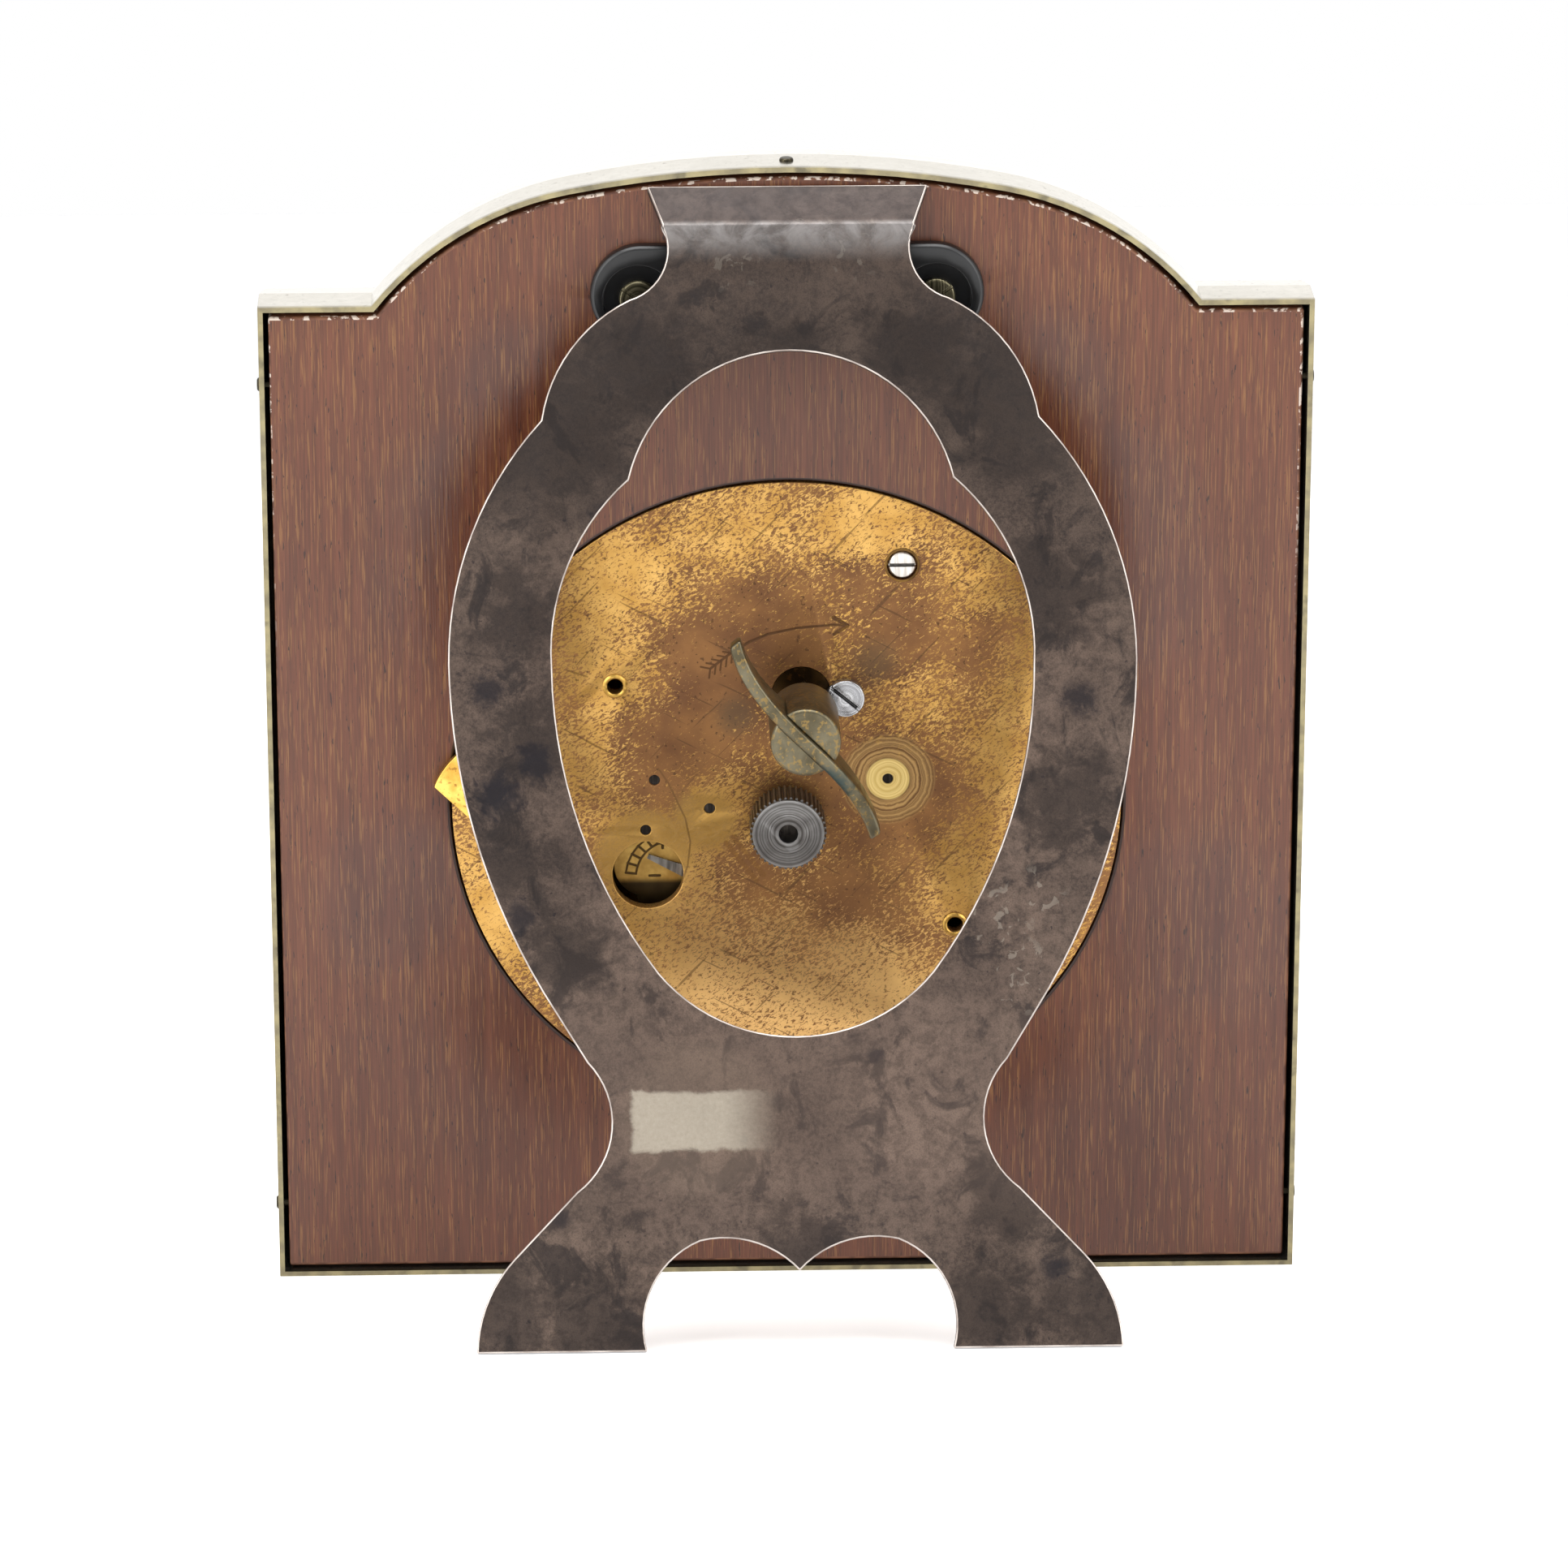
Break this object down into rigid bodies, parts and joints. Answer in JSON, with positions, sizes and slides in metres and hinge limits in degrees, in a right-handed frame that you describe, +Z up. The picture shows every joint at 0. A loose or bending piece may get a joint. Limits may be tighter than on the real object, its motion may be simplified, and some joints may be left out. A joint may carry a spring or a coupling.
{
  "type": "mantel clock",
  "caption": "Arch-topped silver-fronted travelling mantel clock on a wooden back, with a folding easel strut, winding key, setting knob and lever movement.",
  "frame": {"origin": "centre of the bounding box, on the table the clock stands on", "axes": "+Z up, +Y out of the back towards the strut, -Y towards the dial, +X to the left seen from behind"},
  "size_m": [0.1022, 0.0574, 0.1127],
  "materials": {
    "silver": "tarnished silver, satin",
    "wood": "reddish brown, rubbed varnish",
    "crystal": "clear domed glass",
    "black_metal": "glossy black enamel",
    "dark_steel": "oxidised steel",
    "steel": "turned steel",
    "blued_steel": "blued",
    "brass": "lacquered brass with brown spots",
    "aged_brass": "worn nickelled brass",
    "dial_enamel": "white enamel"
  },
  "bodies": {
    "case": {"silver_front": "silver", "wooden_back": "wood", "case_pins": "silver", "front_bezel": "silver", "dial_glass": "crystal", "hinge_plate": "black_metal", "hinge_plate_screws": "dark_steel", "hinge_pin": "steel", "back_plate": "brass", "front_plate": "brass", "plate_pillars": "brass", "pillar_screws": "dark_steel", "fixing_dog": "brass", "fixing_dog_screw": "steel", "click_screw": "steel", "click_spring": "steel", "pallet_cock": "brass", "hairspring_stud": "steel", "balance_cock": "brass", "balance_cock_screw": "steel", "minute_wheel_stud": "steel", "dial": "dial_enamel", "dial_feet": "brass"},
    "strut": {"strut": "silver", "strut_knuckle": "silver"},
    "winding": {"winding_arbor": "steel", "ratchet_wheel": "steel", "key_pipe": "aged_brass", "key_wing": "aged_brass"},
    "click": {"click": "steel"},
    "barrel": {"mainspring_barrel": "brass", "barrel_cover": "brass", "mainspring": "steel"},
    "intermediate": {"intermediate_pinion": "steel", "intermediate_wheel": "brass"},
    "centre": {"centre_pinion": "steel", "centre_wheel": "brass"},
    "third": {"third_pinion": "steel", "third_wheel": "brass"},
    "fourth": {"fourth_pinion": "steel", "fourth_wheel": "brass"},
    "escape": {"escape_pinion": "steel", "escape_wheel": "brass"},
    "pallets": {"pallet_lever": "steel", "pallet_arbor": "steel"},
    "balance": {"balance_wheel": "brass", "balance_staff": "steel", "hairspring": "blued_steel"},
    "regulator": {"regulator_index": "steel"},
    "hand_setting": {"centre_arbor": "steel", "setting_knob": "steel", "cannon_pinion": "steel", "minute_hand": "blued_steel", "hand_nut": "brass"},
    "minute_work": {"minute_wheel": "brass"},
    "hour_work": {"hour_wheel": "brass", "hour_hand": "blued_steel"}
  },
  "joints": [
    {"name": "strut_hinge", "type": "hinge", "parent": "case", "child": "strut", "pos_m": [0, 0.01085, 0.10098], "axis": [1, 0, 0], "range_deg": [-21.8, 0]},
    {"name": "winding_turn", "type": "hinge", "parent": "case", "child": "winding", "pos_m": [-0.0014, -0.00304, 0.05952], "axis": [0, 0.9728, -0.2317], "continuous": true},
    {"name": "click_lift", "type": "hinge", "parent": "case", "child": "click", "pos_m": [-0.0057, -0.00308, 0.05933], "axis": [0, 0.9728, -0.2317], "range_deg": [-14, 0]},
    {"name": "barrel_turn", "type": "hinge", "parent": "case", "child": "barrel", "pos_m": [-0.0014, -0.00304, 0.05952], "axis": [0, 0.9728, -0.2317], "continuous": true},
    {"name": "intermediate_turn", "type": "hinge", "parent": "case", "child": "intermediate", "pos_m": [-0.0099, -0.00508, 0.05096], "axis": [0, 0.9728, -0.2317], "continuous": true},
    {"name": "centre_turn", "type": "hinge", "parent": "case", "child": "centre", "pos_m": [0, -0.00599, 0.04712], "axis": [0, 0.9728, -0.2317], "continuous": true},
    {"name": "third_turn", "type": "hinge", "parent": "case", "child": "third", "pos_m": [0.0076, -0.00575, 0.04814], "axis": [0, 0.9728, -0.2317], "continuous": true},
    {"name": "fourth_turn", "type": "hinge", "parent": "case", "child": "fourth", "pos_m": [0.013, -0.00505, 0.05106], "axis": [0, 0.9728, -0.2317], "continuous": true},
    {"name": "escape_turn", "type": "hinge", "parent": "case", "child": "escape", "pos_m": [0.0139, -0.00626, 0.046], "axis": [0, 0.9728, -0.2317], "continuous": true},
    {"name": "pallet_rock", "type": "hinge", "parent": "case", "child": "pallets", "pos_m": [0.01135, -0.00684, 0.04357], "axis": [0, 0.9728, -0.2317], "range_deg": [-5, 5]},
    {"name": "balance_swing", "type": "hinge", "parent": "case", "child": "balance", "pos_m": [0.0071, -0.00779, 0.03958], "axis": [0, 0.9728, -0.2317], "range_deg": [-135, 135]},
    {"name": "regulator_set", "type": "hinge", "parent": "case", "child": "regulator", "pos_m": [0.0071, -0.00779, 0.03958], "axis": [0, 0.9728, -0.2317], "range_deg": [-20, 20]},
    {"name": "hand_setting", "type": "hinge", "parent": "case", "child": "hand_setting", "pos_m": [0, -0.00599, 0.04712], "axis": [0, 0.9728, -0.2317], "continuous": true},
    {"name": "minute_work", "type": "hinge", "parent": "case", "child": "minute_work", "pos_m": [-0.00462, -0.00649, 0.04502], "axis": [0, 0.9728, -0.2317], "continuous": true},
    {"name": "hour_work", "type": "hinge", "parent": "case", "child": "hour_work", "pos_m": [0, -0.00599, 0.04712], "axis": [0, 0.9728, -0.2317], "continuous": true}
  ],
  "couplings": [
    {"joint": "intermediate_turn", "follows": "barrel_turn", "ratio": -5.1429},
    {"joint": "centre_turn", "follows": "barrel_turn", "ratio": 30.857},
    {"joint": "third_turn", "follows": "barrel_turn", "ratio": -246.86},
    {"joint": "fourth_turn", "follows": "barrel_turn", "ratio": 1851.4},
    {"joint": "escape_turn", "follows": "barrel_turn", "ratio": -13886},
    {"joint": "minute_work", "follows": "hand_setting", "ratio": -0.33333},
    {"joint": "hour_work", "follows": "hand_setting", "ratio": 0.083333}
  ]
}
